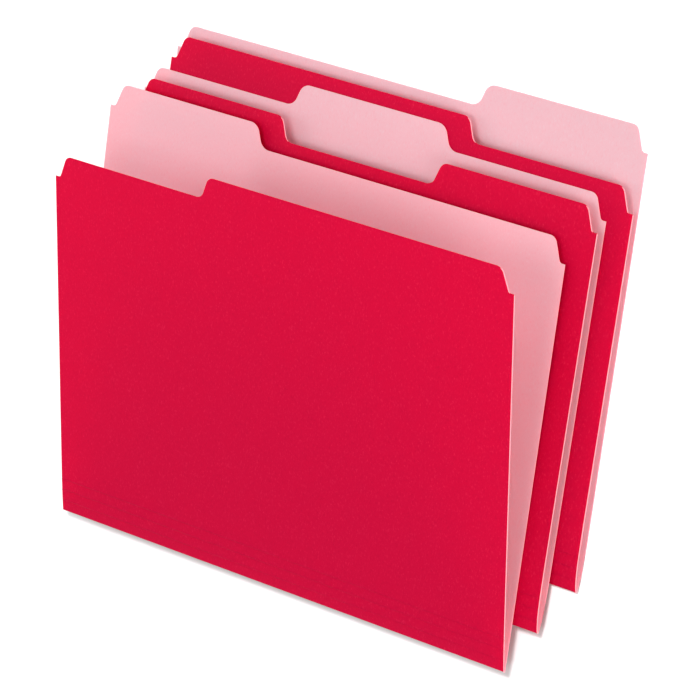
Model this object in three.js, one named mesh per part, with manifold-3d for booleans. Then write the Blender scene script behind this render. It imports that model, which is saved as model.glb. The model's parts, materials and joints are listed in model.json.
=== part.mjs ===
// A set of three letter-size interior file folders with one-third cut tabs.
// They lie in a staggered stack, folds towards -Y, tabs towards +Y, +Z up, in millimetres.
// The origin is on the surface that they lie on, under the middle of the lowest back panel.
import * as THREE from 'three';
import { mergeVertices } from 'three/addons/utils/BufferGeometryUtils.js';
import Module from 'manifold-3d';

const wasm = await Module();
wasm.setup();

// The card
const CARD = 0.28; // 11 point stock
const WIDTH = 295.3; // 11 5/8 in along the fold

// Heights over the fold, square to it
const TAB_TOP = 241.3; // 9 1/2 in
const BACK_TOP = 228.8; // back panel beside its tab
const FRONT_TOP = 223.4; // front panel beside its undercut
const UNDERCUT = 12.7; // cut from the front panel below the tab

// Top edge
const CENTRE_TAB = 95.4; // between the middles of the centre tab's slanted sides
const UNDERCUT_PAST = 1; // the undercut reaches this far past the tab's sides
const SLANT = 70; // degrees, of every slanted side
const TAB_ROUND = 6.4; // the back panel's steps, both corners
const UNDERCUT_ROUND = 5; // the front panel's steps, both corners

// Cut-away outer corners
const CORNER_DROP = 12.7;
const SHOULDER = 3.2;
const SHOULDER_ROUND = 2;
const CORNER_ROUND = 4.5;

// Fold and score lines
const SCORE_PITCH = 6.35; // three scores, for up to 3/4 in of expansion
const SCORES = 3;
const FOLD_EASE = 8; // a sprung fold dies away over this length of panel
const CREASE_GAP = 0.3; // clear between two pieces of card at a crease
const FACET = 0.8; // length of the first facet in the curved part
const FACET_GROWTH = 1.15; // each facet over the one before
const EASED_AFTER = 40; // a panel is flat past this height

// The stack
const POCKET = 6; // between the panels of a closed folder, which its fold springs apart
const PRESSED = 0.5; // degrees, that the weight on the lowest folder turns its front panel down
const OPEN_ANGLE = 11.2; // degrees, of the upper folder's front panel
const OPEN_LIFT = 0.5; // how far the upper folder's fold lifts its front panel
const OPEN_SAG = 0.4; // and lowers its back panel
const UPPER_TILT = 0.9; // degrees, by which the upper folder's top stands off the cover below
const SEATED_AT = 55; // a tilted folder touches that cover this far from its own fold
const MIDDLE_SHIFT = [-14.5, -25.2]; // from the folder below, to the left and towards the folds
const UPPER_SHIFT = [-13.9, -24.6];
const REST_GAP = 0.3; // between one folder and the next

const RED = 0xd4003a;
const WELD = 1e-4; // corners closer than this are one

// A shape through corners [x, y, radius], each rounded by its radius
function filleted(corners) {
  const shape = new THREE.Shape();
  const n = corners.length;
  corners.forEach(([x, y, radius = 0], i) => {
    const here = new THREE.Vector2(x, y);
    const before = new THREE.Vector2(...corners[(i + n - 1) % n].slice(0, 2)).sub(here).normalize();
    const after = new THREE.Vector2(...corners[(i + 1) % n].slice(0, 2)).sub(here).normalize();
    const half = Math.acos(THREE.MathUtils.clamp(before.dot(after), -1, 1)) / 2;
    const reach = radius / Math.tan(half);
    const start = here.clone().addScaledVector(before, reach);
    if (i === 0) shape.moveTo(start.x, start.y);
    else shape.lineTo(start.x, start.y);
    if (radius > 0) {
      const end = here.clone().addScaledVector(after, reach);
      const middle = before.clone().add(after).setLength(radius / Math.sin(half)).add(here);
      const clockwise = before.cross(after) > 0;
      const from = Math.atan2(start.y - middle.y, start.x - middle.x);
      const to = Math.atan2(end.y - middle.y, end.x - middle.x);
      shape.absarc(middle.x, middle.y, radius, from, to, clockwise);
    }
  });
  shape.closePath();
  return shape;
}

// The corners of one cut-away outer corner, from the side edge up, on the right
function outerCorner(top) {
  const run = CORNER_DROP / Math.tan(THREE.MathUtils.degToRad(SLANT));
  const foot = top - CORNER_DROP;
  return [
    [WIDTH / 2, foot],
    [WIDTH / 2 - SHOULDER, foot, SHOULDER_ROUND],
    [WIDTH / 2 - SHOULDER - run, top, CORNER_ROUND],
  ];
}

// The corners of one slanted step about x, from its right side to its left
function step(x, rightTop, leftTop, round) {
  const run = Math.abs(rightTop - leftTop) / Math.tan(THREE.MathUtils.degToRad(SLANT));
  return [
    [x + run / 2, rightTop, round],
    [x - run / 2, leftTop, round],
  ];
}

// A panel's outline: beside is its top edge's height, within is that at its tab or undercut,
// which reaches past the tab's sides
function panelOutline(place, beside, within, past, round) {
  const at = (third) => (third === place ? within : beside);
  const [left, centre, right] = [-1, 0, 1].map(at);
  const corners = [[-WIDTH / 2, -CORNER_DROP], [WIDTH / 2, -CORNER_DROP], ...outerCorner(right)];
  const side = CENTRE_TAB / 2 + (place === 0 ? past : -past);
  if (centre !== right) corners.push(...step(side, right, centre, round));
  if (left !== centre) corners.push(...step(-side, centre, left, round));
  corners.push(...outerCorner(left).reverse().map(([x, y, r]) => [-x, y, r]));
  return filleted(corners);
}

// How far a panel's inner face stands off the fold line, y away from it
const standOff = (y, lift) => CREASE_GAP / 2 + lift * (1 - Math.exp(-y / FOLD_EASE));

// The heights between which a panel's facets lie, from y = from to y = to
function facets(from, to) {
  const ys = [from];
  let length = FACET;
  while (ys.at(-1) + length < Math.min(to, EASED_AFTER)) {
    ys.push(ys.at(-1) + length);
    length *= FACET_GROWTH;
  }
  ys.push(to);
  return ys;
}

// A card's section from y = from to y = to: inner face, then outer face, square at both ends
// side is +1 for card above its inner face and -1 for card below it
function cardSection(from, to, lift, side) {
  const ys = facets(from, to);
  const inner = ys.map((y) => new THREE.Vector2(y, side * standOff(y, lift)));
  const outer = ys.map((y, i) => {
    const slope = side * lift / FOLD_EASE * Math.exp(-y / FOLD_EASE);
    return new THREE.Vector2(-slope, 1).setLength(side * CARD).add(inner[i]);
  });
  const loop = [...inner, ...outer.reverse()];
  return new THREE.Shape(side > 0 ? loop : loop.reverse());
}

// The section run along X over the full width, centred
function cardSheet(section) {
  const sheet = new THREE.ExtrudeGeometry(section, { depth: WIDTH, bevelEnabled: false });
  // drawn in Y and Z, so its own x, y, z become Y, Z, X
  const axes = new THREE.Matrix4().set(0, 0, 1, -WIDTH / 2, 1, 0, 0, 0, 0, 1, 0, 0, 0, 0, 0, 1);
  return sheet.applyMatrix4(axes);
}

function toSolid(geometry) {
  geometry.deleteAttribute('normal');
  geometry.deleteAttribute('uv');
  const merged = mergeVertices(geometry, WELD);
  return new wasm.Manifold(new wasm.Mesh({
    numProp: 3,
    vertProperties: new Float32Array(merged.attributes.position.array),
    triVerts: new Uint32Array(merged.index.array),
  }));
}

function toGeometry(solid) {
  const { vertProperties, triVerts } = solid.getMesh();
  const geometry = new THREE.BufferGeometry();
  geometry.setAttribute('position', new THREE.BufferAttribute(new Float32Array(vertProperties), 3));
  geometry.setIndex(new THREE.BufferAttribute(new Uint32Array(triVerts), 1));
  return geometry;
}

// A sheet die-cut to an outline
function dieCut(sheet, outline) {
  const depth = 4 * TAB_TOP;
  const die = new THREE.ExtrudeGeometry(outline, { depth, bevelEnabled: false, curveSegments: 8 });
  die.translate(0, 0, -depth / 2);
  return toGeometry(toSolid(sheet).intersect(toSolid(die)));
}

function cardMesh(name, geometry) {
  const material = new THREE.MeshStandardMaterial({ color: RED, roughness: 0.85, metalness: 0 });
  const mesh = new THREE.Mesh(geometry, material);
  mesh.name = name;
  return mesh;
}

// One folder about its fold line: a back panel with its tab, three score strips, a front panel
// The cover is everything that turns about the fold
function folder({ name, place, backLift, frontLift, angle }) {
  const back = cardSheet(cardSection(CREASE_GAP / 2, TAB_TOP, backLift, -1));
  const backOutline = panelOutline(place, BACK_TOP, TAB_TOP, 0, TAB_ROUND);
  const cover = new THREE.Group();
  cover.rotation.x = THREE.MathUtils.degToRad(angle);
  for (let i = 0; i < SCORES; i += 1) {
    const from = i * SCORE_PITCH + CREASE_GAP / 2;
    const to = (i + 1) * SCORE_PITCH - CREASE_GAP / 2;
    const strip = cardSheet(cardSection(from, to, frontLift, 1));
    cover.add(cardMesh(`${name}_score_strip_${i + 1}`, toGeometry(toSolid(strip))));
  }
  const lastScore = SCORES * SCORE_PITCH + CREASE_GAP / 2;
  const front = cardSheet(cardSection(lastScore, FRONT_TOP, frontLift, 1));
  const undercutTop = FRONT_TOP - UNDERCUT;
  const frontOutline = panelOutline(place, FRONT_TOP, undercutTop, UNDERCUT_PAST, UNDERCUT_ROUND);
  cover.add(cardMesh(`${name}_front_panel`, dieCut(front, frontOutline)));

  const group = new THREE.Group();
  group.add(cardMesh(`${name}_back_panel`, dieCut(back, backOutline)), cover);
  return { group, cover };
}

// Tabs are on the right, in the middle and on the left, from the lowest folder up
const SPRUNG = (POCKET - CREASE_GAP) / 2;
const closed = { backLift: SPRUNG, frontLift: SPRUNG, tilt: 0 };
const open = { backLift: OPEN_SAG, frontLift: OPEN_LIFT, tilt: UPPER_TILT };
const STACK = [
  { name: 'lower', place: 1, ...closed, angle: -PRESSED, shift: [0, -TAB_TOP / 2] },
  { name: 'middle', place: 0, ...closed, angle: 0, shift: MIDDLE_SHIFT },
  { name: 'upper', place: -1, ...open, angle: OPEN_ANGLE, shift: UPPER_SHIFT },
];

// Each folder lies on the cover of the one below and turns with it
const outside = (lift) => CREASE_GAP / 2 + lift + CARD;
const folders = new THREE.Group();
let seat = folders;
let seatHeight = 0;
for (const spec of STACK) {
  const { group, cover } = folder(spec);
  const tilt = THREE.MathUtils.degToRad(spec.tilt);
  const foldHeight = seatHeight + outside(spec.backLift) - SEATED_AT * Math.tan(tilt);
  group.position.set(...spec.shift, foldHeight);
  group.rotation.x = tilt;
  seat.add(group);
  seat = cover;
  seatHeight = outside(spec.frontLift) + REST_GAP;
}

export default folders;
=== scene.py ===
"""Looks of three red interior file folders, lying in a staggered stack, around their CAD frame."""

import json
import math

import bmesh
import bpy
from mathutils import Matrix, Vector

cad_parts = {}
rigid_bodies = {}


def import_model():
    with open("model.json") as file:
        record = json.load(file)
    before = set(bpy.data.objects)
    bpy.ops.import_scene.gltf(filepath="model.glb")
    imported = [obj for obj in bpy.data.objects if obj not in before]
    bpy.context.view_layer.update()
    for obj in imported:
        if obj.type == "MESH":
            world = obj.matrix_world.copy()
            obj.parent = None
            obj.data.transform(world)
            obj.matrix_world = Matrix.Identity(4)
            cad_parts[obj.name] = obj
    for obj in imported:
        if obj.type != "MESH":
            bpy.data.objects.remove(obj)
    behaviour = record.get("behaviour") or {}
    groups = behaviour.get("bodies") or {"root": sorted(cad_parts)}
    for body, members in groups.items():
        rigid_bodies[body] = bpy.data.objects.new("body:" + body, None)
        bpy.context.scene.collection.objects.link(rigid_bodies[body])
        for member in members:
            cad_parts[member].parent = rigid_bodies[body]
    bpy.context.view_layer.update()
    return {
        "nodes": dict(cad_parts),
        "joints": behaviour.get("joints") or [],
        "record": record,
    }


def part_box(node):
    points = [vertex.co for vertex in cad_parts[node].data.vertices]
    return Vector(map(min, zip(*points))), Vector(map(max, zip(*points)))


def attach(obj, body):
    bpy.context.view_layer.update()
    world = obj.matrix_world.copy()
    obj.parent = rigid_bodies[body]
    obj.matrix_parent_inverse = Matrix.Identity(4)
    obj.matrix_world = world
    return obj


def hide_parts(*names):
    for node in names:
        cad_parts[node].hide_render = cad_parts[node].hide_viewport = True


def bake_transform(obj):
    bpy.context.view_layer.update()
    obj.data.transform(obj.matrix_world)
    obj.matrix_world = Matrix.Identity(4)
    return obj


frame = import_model()


# Back panels, each with its tab: the half of the folded card that lies underneath, pink side up.
# They are die-cut from two-tone folder stock, a calendered paperboard of 11 points. The knife
# rolls every cut edge a little. Beside the right-hand ones, a pale band is a painted highlight.
MM = 0.001
FOLDERS = ("lower", "middle", "upper")
BODIES = frame["record"]["behaviour"]["bodies"]

# Each side's colours are those of the sheet, of its dark and of its pale flecks.
# The outside is dyed: an even, dense red, nearly without gloss.
RED_OUTSIDE = ("#BF003B", "#B60037", "#CA1E4B")
# The inside is tinted: a soft pink, which turns warmer where light comes through the card.
PINK_INSIDE = ("#EAC8D1", "#E5BFC9", "#EED0D8")
# The core is the palest ply, and the die lays it open: a light line along the cut. The same colour is
# also painted beside the right-hand cuts as a painted highlight.
CORE_AND_HIGHLIGHT_PINK = ("#FAC8D2", "#F6BFCB", "#FCD0D8")
RED_PASSED = "#930027"  # the part of the light that each side lets through
PINK_PASSED = "#AA4B6C"
FLECK = 0.8 * MM  # clumps of fibres, drawn about twice as coarse as they are, so that they show
FLECK_STRETCH = 0.45  # the fibres lie mostly square to the fold, so a clump is longer that way
DARK_FLECKS = (0.47, 0.25)  # levels of the noise at which a fleck begins and is full
PALE_FLECKS = (0.55, 0.75)
GRAIN_DEPTH = 0.012 * MM
GRAIN_STRENGTH = 0.35
CARD_IOR = 1.46  # close to that of cellulose
CARD_ROUGHNESS = 0.5
CARD_SPECULAR = 0.08  # the sheet is smooth but hardly shines

EDGE_ROLL = 0.11 * MM
# width of the painted highlight, in the core's pale colour, beside each right-hand cut
EDGE_HIGHLIGHT_WIDTH = 0.4 * MM
CREASE_MARGIN = 0.1  # of the painted highlight's width, which stays without the highlight at a crease
SAME_POINT = 0.001 * MM
SAME_PLANE = math.radians(0.02)

# What a face is shows in how much of its normal lies along one axis.
SIDE_FACING = 0.5  # along Z: the card's two sides have more, its edge less
CREASE_FACING = 0.8  # along Y: an end that goes on into a crease has more
RIGHT_FACING = 0.5  # along X: a right-hand cut has more
ROLLED_FACING = 0.2  # along Z: the part of a rolled edge that has more keeps the side's colour


def linear(hex_colour):
    """An sRGB hex colour as linear RGBA."""
    parts = [int(hex_colour[i : i + 2], 16) / 255 for i in (1, 3, 5)]
    return [c / 12.92 if c <= 0.04045 else ((c + 0.055) / 1.055) ** 2.4 for c in parts] + [1]


def add_node(tree, kind, links=None, **settings):
    """Adds a node, with its links. A setting is the node's own or an input's, with _ for a space."""
    made = tree.nodes.new(kind)
    for name, value in settings.items():
        if hasattr(made, name):
            setattr(made, name, value)
        else:
            made.inputs[name.replace("_", " ")].default_value = value
    for name, output in (links or {}).items():
        tree.links.new(output, made.inputs[name])
    return made


def card_material(name, colours, passed):
    """Calendered card with fine fibres that take the dye unevenly, through which some light passes."""
    sheet, dark, pale = (linear(colour) for colour in colours)
    material = bpy.data.materials.new(name)
    material.use_nodes = True
    tree = material.node_tree
    tree.nodes.clear()
    place = add_node(tree, "ShaderNodeTexCoord")
    along = add_node(
        tree, "ShaderNodeMapping", {"Vector": place.outputs["Object"]}, Scale=(1, FLECK_STRETCH, 1)
    )
    fibres = add_node(
        tree, "ShaderNodeTexNoise", {"Vector": along.outputs[0]}, Scale=1 / FLECK, Detail=2, Roughness=0.6
    )
    dark_level, pale_level = (
        add_node(
            tree,
            "ShaderNodeMapRange",
            {"Value": fibres.outputs["Fac"]},
            interpolation_type="SMOOTHSTEP",
            From_Min=begins,
            From_Max=full,
        )
        for begins, full in (DARK_FLECKS, PALE_FLECKS)
    )
    darker = add_node(
        tree, "ShaderNodeMix", {"Factor": dark_level.outputs[0]}, data_type="RGBA", A=sheet, B=dark
    )
    tint = add_node(
        tree,
        "ShaderNodeMix",
        {"Factor": pale_level.outputs[0], "A": darker.outputs["Result"]},
        data_type="RGBA",
        B=pale,
    )
    bump = add_node(
        tree,
        "ShaderNodeBump",
        {"Height": fibres.outputs["Fac"]},
        Strength=GRAIN_STRENGTH,
        Distance=GRAIN_DEPTH,
    )
    shader = add_node(
        tree,
        "ShaderNodeBsdfPrincipled",
        {"Base Color": tint.outputs["Result"], "Normal": bump.outputs[0]},
        Roughness=CARD_ROUGHNESS,
        IOR=CARD_IOR,
        Specular_IOR_Level=CARD_SPECULAR,
    )
    through = add_node(tree, "ShaderNodeBsdfTranslucent", Color=linear(passed))
    both_ways = add_node(tree, "ShaderNodeAddShader", {0: shader.outputs[0], 1: through.outputs[0]})
    add_node(tree, "ShaderNodeOutputMaterial", {"Surface": both_ways.outputs[0]})
    return material


CARD_MATERIALS = (
    card_material("paperboard_dyed_red_outside", RED_OUTSIDE, RED_PASSED),
    card_material("paperboard_pink_inside", PINK_INSIDE, PINK_PASSED),
    # the pale core on every cut, and also the painted highlight beside the right-hand cuts
    card_material("paperboard_die_cut_edge_and_painted_highlight", CORE_AND_HIGHLIGHT_PINK, PINK_PASSED),
)
OUTSIDE, INSIDE, CUT_AND_HIGHLIGHT = range(3)
HIGHLIGHTED = 3  # for a moment only: a face of the painted highlight beside a right-hand cut, until the cut edges are rolled


def edit(card):
    """Takes one card alone into edit mode."""
    bpy.ops.object.select_all(action="DESELECT")
    card.select_set(True)
    bpy.context.view_layer.objects.active = card
    bpy.ops.object.mode_set(mode="EDIT")


def apply_modifier(card, kind, **settings):
    """Adds a modifier to a card and applies it."""
    modifier = card.modifiers.new(kind.title(), kind)
    for name, value in settings.items():
        setattr(modifier, name, value)
    with bpy.context.temp_override(object=card, active_object=card, selected_objects=[card]):
        bpy.ops.object.modifier_apply(modifier=modifier.name)


def is_side(face):
    """Whether a face lies on one of the card's two sides, and not on its edge."""
    return abs(face.normal.z) > SIDE_FACING


def side_colour(face, outside_up):
    """The material of the side that a face belongs to."""
    return OUTSIDE if (face.normal.z > 0) == outside_up else INSIDE


def colour_card(card, outside_up, creased_towards):
    """Gives both sides and the cut edges their materials. The ends at creases have the outside's."""
    for face in bmesh.from_edit_mesh(card.data).faces:
        if any(face.normal.y * towards > CREASE_FACING for towards in creased_towards):
            face.material_index = OUTSIDE
        elif is_side(face):
            face.material_index = side_colour(face, outside_up)
        else:
            face.material_index = CUT_AND_HIGHLIGHT
        face.smooth = True


def draw_to_crease(corner):
    """Moves the inset corner next to a crease's corner nearly up to it, so that the bands reach it."""
    for edge in corner.link_edges:
        inner = edge.other_vert(corner)
        if all(is_side(face) for face in inner.link_faces):
            inner.co.yz = corner.co.yz.lerp(inner.co.yz, CREASE_MARGIN)


def paint_right_edge_highlights(card):
    """Insets both sides, and marks the band beside every right-hand cut for the painted highlight."""
    for face in bmesh.from_edit_mesh(card.data).faces:
        face.select_set(is_side(face))
    bpy.ops.mesh.inset(thickness=EDGE_HIGHLIGHT_WIDTH)
    bpy.ops.mesh.select_all(action="DESELECT")
    for face in bmesh.from_edit_mesh(card.data).faces:
        if face.material_index == CUT_AND_HIGHLIGHT and face.normal.x > RIGHT_FACING:
            for edge in face.edges:
                for beside in edge.link_faces:
                    if is_side(beside):
                        beside.material_index = HIGHLIGHTED
        elif face.material_index == OUTSIDE and not is_side(face):
            for corner in face.verts:
                draw_to_crease(corner)


def roll_cut_edges(card, outside_up):
    """Rounds the cut edges. As painted shade, the sides' colours go round those at the top, which catch
    less light, in place of the pale core.
    """
    for edge in bmesh.from_edit_mesh(card.data).edges:
        at_side = any(is_side(face) for face in edge.link_faces)
        edge.select = at_side and any(face.material_index == CUT_AND_HIGHLIGHT for face in edge.link_faces)
    bpy.ops.mesh.bevel(offset=EDGE_ROLL, segments=2, affect="EDGES", material=CUT_AND_HIGHLIGHT)
    for face in bmesh.from_edit_mesh(card.data).faces:
        x, y, z = (abs(c) for c in face.normal)
        # the painted highlight bands take the core's pale colour
        if face.material_index == HIGHLIGHTED:
            face.material_index = CUT_AND_HIGHLIGHT
        # painted shade: the rolls at the top keep the side's colour instead of the pale core
        elif face.material_index == CUT_AND_HIGHLIGHT and z > ROLLED_FACING and y > x:
            face.material_index = side_colour(face, outside_up)


def body_of(node):
    """The body of the frame that carries a node."""
    return next(body for body, nodes in BODIES.items() if node in nodes)


def card_piece(node, outside_up, creased_towards):
    """A finished copy of one of the frame's cards. The ends towards -Y or +Y go on into creases."""
    card = frame["nodes"][node].copy()
    card.data = card.data.copy()
    card.name = card.data.name = f"{node}_card"
    card.parent = None
    bpy.context.scene.collection.objects.link(card)
    card.data.materials.clear()
    for material in CARD_MATERIALS:
        card.data.materials.append(material)

    edit(card)
    bpy.ops.mesh.select_all(action="SELECT")
    bpy.ops.mesh.customdata_custom_splitnormals_clear()
    bpy.ops.mesh.remove_doubles(threshold=SAME_POINT)
    bpy.ops.mesh.mark_sharp(clear=True)
    bpy.ops.mesh.dissolve_limited(angle_limit=SAME_PLANE)
    bpy.ops.mesh.select_all(action="DESELECT")
    colour_card(card, outside_up, creased_towards)
    paint_right_edge_highlights(card)
    roll_cut_edges(card, outside_up)
    bpy.ops.object.mode_set(mode="OBJECT")
    # so that the sides shade flat right up to the rolled edges
    apply_modifier(card, "WEIGHTED_NORMAL", keep_sharp=False, weight=80)

    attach(card, body_of(node))
    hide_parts(node)


for folder in FOLDERS:
    card_piece(f"{folder}_back_panel", outside_up=False, creased_towards=(-1,))


# Score strips: the three narrow bands of the same card beside each fold. The card stays flat
# between the score lines pressed into it, and they let the fold widen as the folder fills.
for folder in FOLDERS:
    for number in (1, 2, 3):
        card_piece(f"{folder}_score_strip_{number}", outside_up=True, creased_towards=(-1, 1))


# Front panels: the half of the folded card that lies on top, red side up. The die cuts its top
# edge lower than the back's, and once more below the tab, so that the tab shows.
for folder in FOLDERS:
    card_piece(f"{folder}_front_panel", outside_up=True, creased_towards=(-1,))


# Creases: the same card where it bends, at the fold and at the three score lines. A blunt rule
# presses each line before folding, which leaves a shallow groove along a score.
END_REACH = 0.6 * MM  # the end of a card at a crease lies within this of the crease's line
END_DECIMALS = 6  # of a metre, to which corners of an end are told apart
GROOVE = 0.008 * MM
CREASE_STEPS = {"fold": 16, "score": 6}
CARD_OF = {body: nodes[0] for body, nodes in BODIES.items()}  # each body carries one card


def card_end(node, line):
    """The inner and the outer corner, in Y and Z, of a card's end at a crease's line."""
    vertices = frame["nodes"][node].data.vertices
    corners = {tuple(round(c, END_DECIMALS) for c in vertex.co.yz) for vertex in vertices}
    near = [Vector(corner) for corner in corners if (Vector(corner) - line).length < END_REACH]
    near.sort(key=lambda corner: (corner - line).length)
    return near[0], near[-1]


def heading(inner, outer, line):
    """The direction in which a card runs on from its end towards the crease."""
    across = (outer - inner).normalized()
    along = Vector((-across.y, across.x))
    return along if along.dot(line - inner) > 0 else -along


def bent_path(start, leaving, end, arriving, steps, groove):
    """Points from one card's inner face round to the next one's, dipping by the pressed groove."""
    turn = leaving.angle(-arriving)
    reach = (end - start).length * (1 + turn / math.pi) / 3
    handle_a = start + leaving * reach
    handle_b = end + arriving * reach
    inward = Vector((leaving.y, -leaving.x)) * groove
    points = []
    for step in range(steps + 1):
        t = step / steps
        point = (
            start * (1 - t) ** 3
            + handle_a * 3 * t * (1 - t) ** 2
            + handle_b * 3 * t**2 * (1 - t)
            + end * t**3
        )
        points.append(point + inward * math.sin(math.pi * t) ** 2)
    return points


def extrude_along(card, path, left, right):
    """Turns a plane about the origin into a sheet from left to right, along a path in Y and Z."""
    edit(card)
    bpy.ops.mesh.select_mode(type="EDGE")
    bpy.ops.mesh.select_all(action="DESELECT")
    shape = bmesh.from_edit_mesh(card.data)
    leading = next(edge for edge in shape.edges if all(vertex.co.y > 0 for vertex in edge.verts))
    for vertex in shape.verts:
        place = path[0] if vertex.co.y < 0 else path[1]
        vertex.co = (left if vertex.co.x < 0 else right, *place)
    leading.select_set(True)
    bmesh.update_edit_mesh(card.data)
    for here, there in zip(path[1:], path[2:]):
        bpy.ops.mesh.extrude_region_move(TRANSFORM_OT_translate={"value": (0, *(there - here))})
    for face in bmesh.from_edit_mesh(card.data).faces:
        face.material_index = OUTSIDE
        face.smooth = True
    bmesh.update_edit_mesh(card.data)
    bpy.ops.object.mode_set(mode="OBJECT")


def paint_right_end_highlight(card, right):
    """Paints the pale highlight beside a crease's right-hand cut, as on the cards that it joins."""
    edit(card)
    bpy.ops.mesh.select_all(action="SELECT")
    bpy.ops.mesh.bisect(plane_co=(right - EDGE_HIGHLIGHT_WIDTH, 0, 0), plane_no=(1, 0, 0))
    for face in bmesh.from_edit_mesh(card.data).faces:
        if face.calc_center_median().x > right - EDGE_HIGHLIGHT_WIDTH:
            face.material_index = CUT_AND_HIGHLIGHT
        elif face.material_index == CUT_AND_HIGHLIGHT and abs(face.normal.x) < RIGHT_FACING:
            face.material_index = OUTSIDE
    bpy.ops.object.mode_set(mode="OBJECT")


def crease(joint):
    """The bent card between two pieces, drawn along its path and thickened outwards."""
    kind = joint["name"].split("_")[1]
    line = Vector(joint["pos_m"][1:])
    before = CARD_OF[joint["parent"]]
    after = CARD_OF[joint["child"]]
    inner_a, outer_a = card_end(before, line)
    inner_b, outer_b = card_end(after, line)
    path = bent_path(
        inner_a,
        heading(inner_a, outer_a, line),
        inner_b,
        heading(inner_b, outer_b, line),
        CREASE_STEPS[kind],
        GROOVE if kind == "score" else 0,
    )
    left, right = (corner.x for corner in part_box(after))

    bpy.ops.object.select_all(action="DESELECT")
    bpy.ops.mesh.primitive_plane_add(size=2)
    card = bpy.context.object
    card.name = card.data.name = f"{joint['name']}_crease"
    for material in CARD_MATERIALS:
        card.data.materials.append(material)
    extrude_along(card, path, left, right)
    apply_modifier(
        card,
        "SOLIDIFY",
        thickness=(outer_a - inner_a).length,
        offset=1,
        use_even_offset=True,
        material_offset=INSIDE - OUTSIDE,
        material_offset_rim=CUT_AND_HIGHLIGHT - OUTSIDE,
    )
    paint_right_end_highlight(card, right)

    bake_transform(card)


for joint in frame["joints"]:
    if joint["type"] == "hinge":
        crease(joint)


# Floor, light and camera: a pale table in a white room. Four large soft lamps stand round the
# folders, and a small one near the camera lights the table alone, so that it is white and the
# shadow narrow. The camera looks down from the tabs' side and from the right.
FLOOR_SIZE = 1.2
FLOOR_BELOW = 0.2 * MM
TABLE_GREY = "#DDDDDD"
ROOM_WHITE = "#FFFFFF"
ROOM_LIGHT = 0.42  # the room's strength as a lamp; the camera and glosses see it white
LAMP_DISTANCE = 1.8
LAMPS = {  # azimuth from +X and elevation in degrees, size in metres, watts
    "overhead_softbox": (0, 90, 0.9, 7),
    "left_softbox": (180, 25, 0.9, 7.5),
    "right_softbox": (345, 25, 0.9, 11),
    "rear_softbox": (120, 40, 0.9, 4),
    "table_lamp": (47, 58, 0.3, 40),
}
CAMERA_AT = (1.16709, 0.53869, 1.73313)
CAMERA_FORWARD = (-0.54239, -0.26461, -0.79737)
CAMERA_UP = (-0.26031, 0.95533, -0.13996)
CAMERA_LENS = 214.498  # in millimetres, as the sensor's width
CAMERA_SENSOR = 36
CAMERA_RANGE = 20  # metres

bpy.ops.object.select_all(action="DESELECT")
bpy.ops.mesh.primitive_plane_add(size=FLOOR_SIZE, location=(0, 0, -FLOOR_BELOW))
floor = bpy.context.object
floor.name = "floor"
floor_material = bpy.data.materials.new("white_table")
floor_material.use_nodes = True
tree = floor_material.node_tree
tree.nodes.clear()
pale = add_node(tree, "ShaderNodeBsdfDiffuse", Color=linear(TABLE_GREY))
add_node(tree, "ShaderNodeOutputMaterial", {"Surface": pale.outputs[0]})
floor.data.materials.append(floor_material)

world = bpy.data.worlds.new("white_room")
bpy.context.scene.world = world
world.use_nodes = True
tree = world.node_tree
tree.nodes.clear()
ray = add_node(tree, "ShaderNodeLightPath")
seen = add_node(
    tree,
    "ShaderNodeMath",
    {0: ray.outputs["Is Camera Ray"], 1: ray.outputs["Is Glossy Ray"]},
    operation="MAXIMUM",
)
level = add_node(tree, "ShaderNodeMapRange", {"Value": seen.outputs[0]}, To_Min=ROOM_LIGHT, To_Max=1)
room = add_node(tree, "ShaderNodeBackground", {"Strength": level.outputs[0]}, Color=linear(ROOM_WHITE))
add_node(tree, "ShaderNodeOutputWorld", {"Surface": room.outputs[0]})

for name, (azimuth, elevation, size, watts) in LAMPS.items():
    lamp_data = bpy.data.lights.new(name, "AREA")
    lamp_data.energy = watts
    lamp_data.size = size
    lamp = bpy.data.objects.new(name, lamp_data)
    across = math.cos(math.radians(elevation))
    direction = Vector(
        (
            across * math.cos(math.radians(azimuth)),
            across * math.sin(math.radians(azimuth)),
            math.sin(math.radians(elevation)),
        )
    )
    lamp.location = direction * LAMP_DISTANCE
    lamp.rotation_euler = direction.to_track_quat("Z", "Y").to_euler()
    bpy.context.scene.collection.objects.link(lamp)
lit_by_table_lamp = bpy.data.collections.new("lit_by_table_lamp")
lit_by_table_lamp.objects.link(floor)
bpy.data.objects["table_lamp"].light_linking.receiver_collection = lit_by_table_lamp

camera_data = bpy.data.cameras.new("camera")
camera_data.lens = CAMERA_LENS
camera_data.sensor_width = CAMERA_SENSOR
camera_data.clip_end = CAMERA_RANGE
camera = bpy.data.objects.new("camera", camera_data)
backward = -Vector(CAMERA_FORWARD)
upward = Vector(CAMERA_UP)
turn = Matrix((upward.cross(backward), upward, backward)).transposed()
camera.matrix_world = Matrix.Translation(CAMERA_AT) @ turn.to_4x4()
bpy.context.scene.collection.objects.link(camera)
bpy.context.scene.camera = camera
bpy.context.scene.view_settings.view_transform = "Standard"
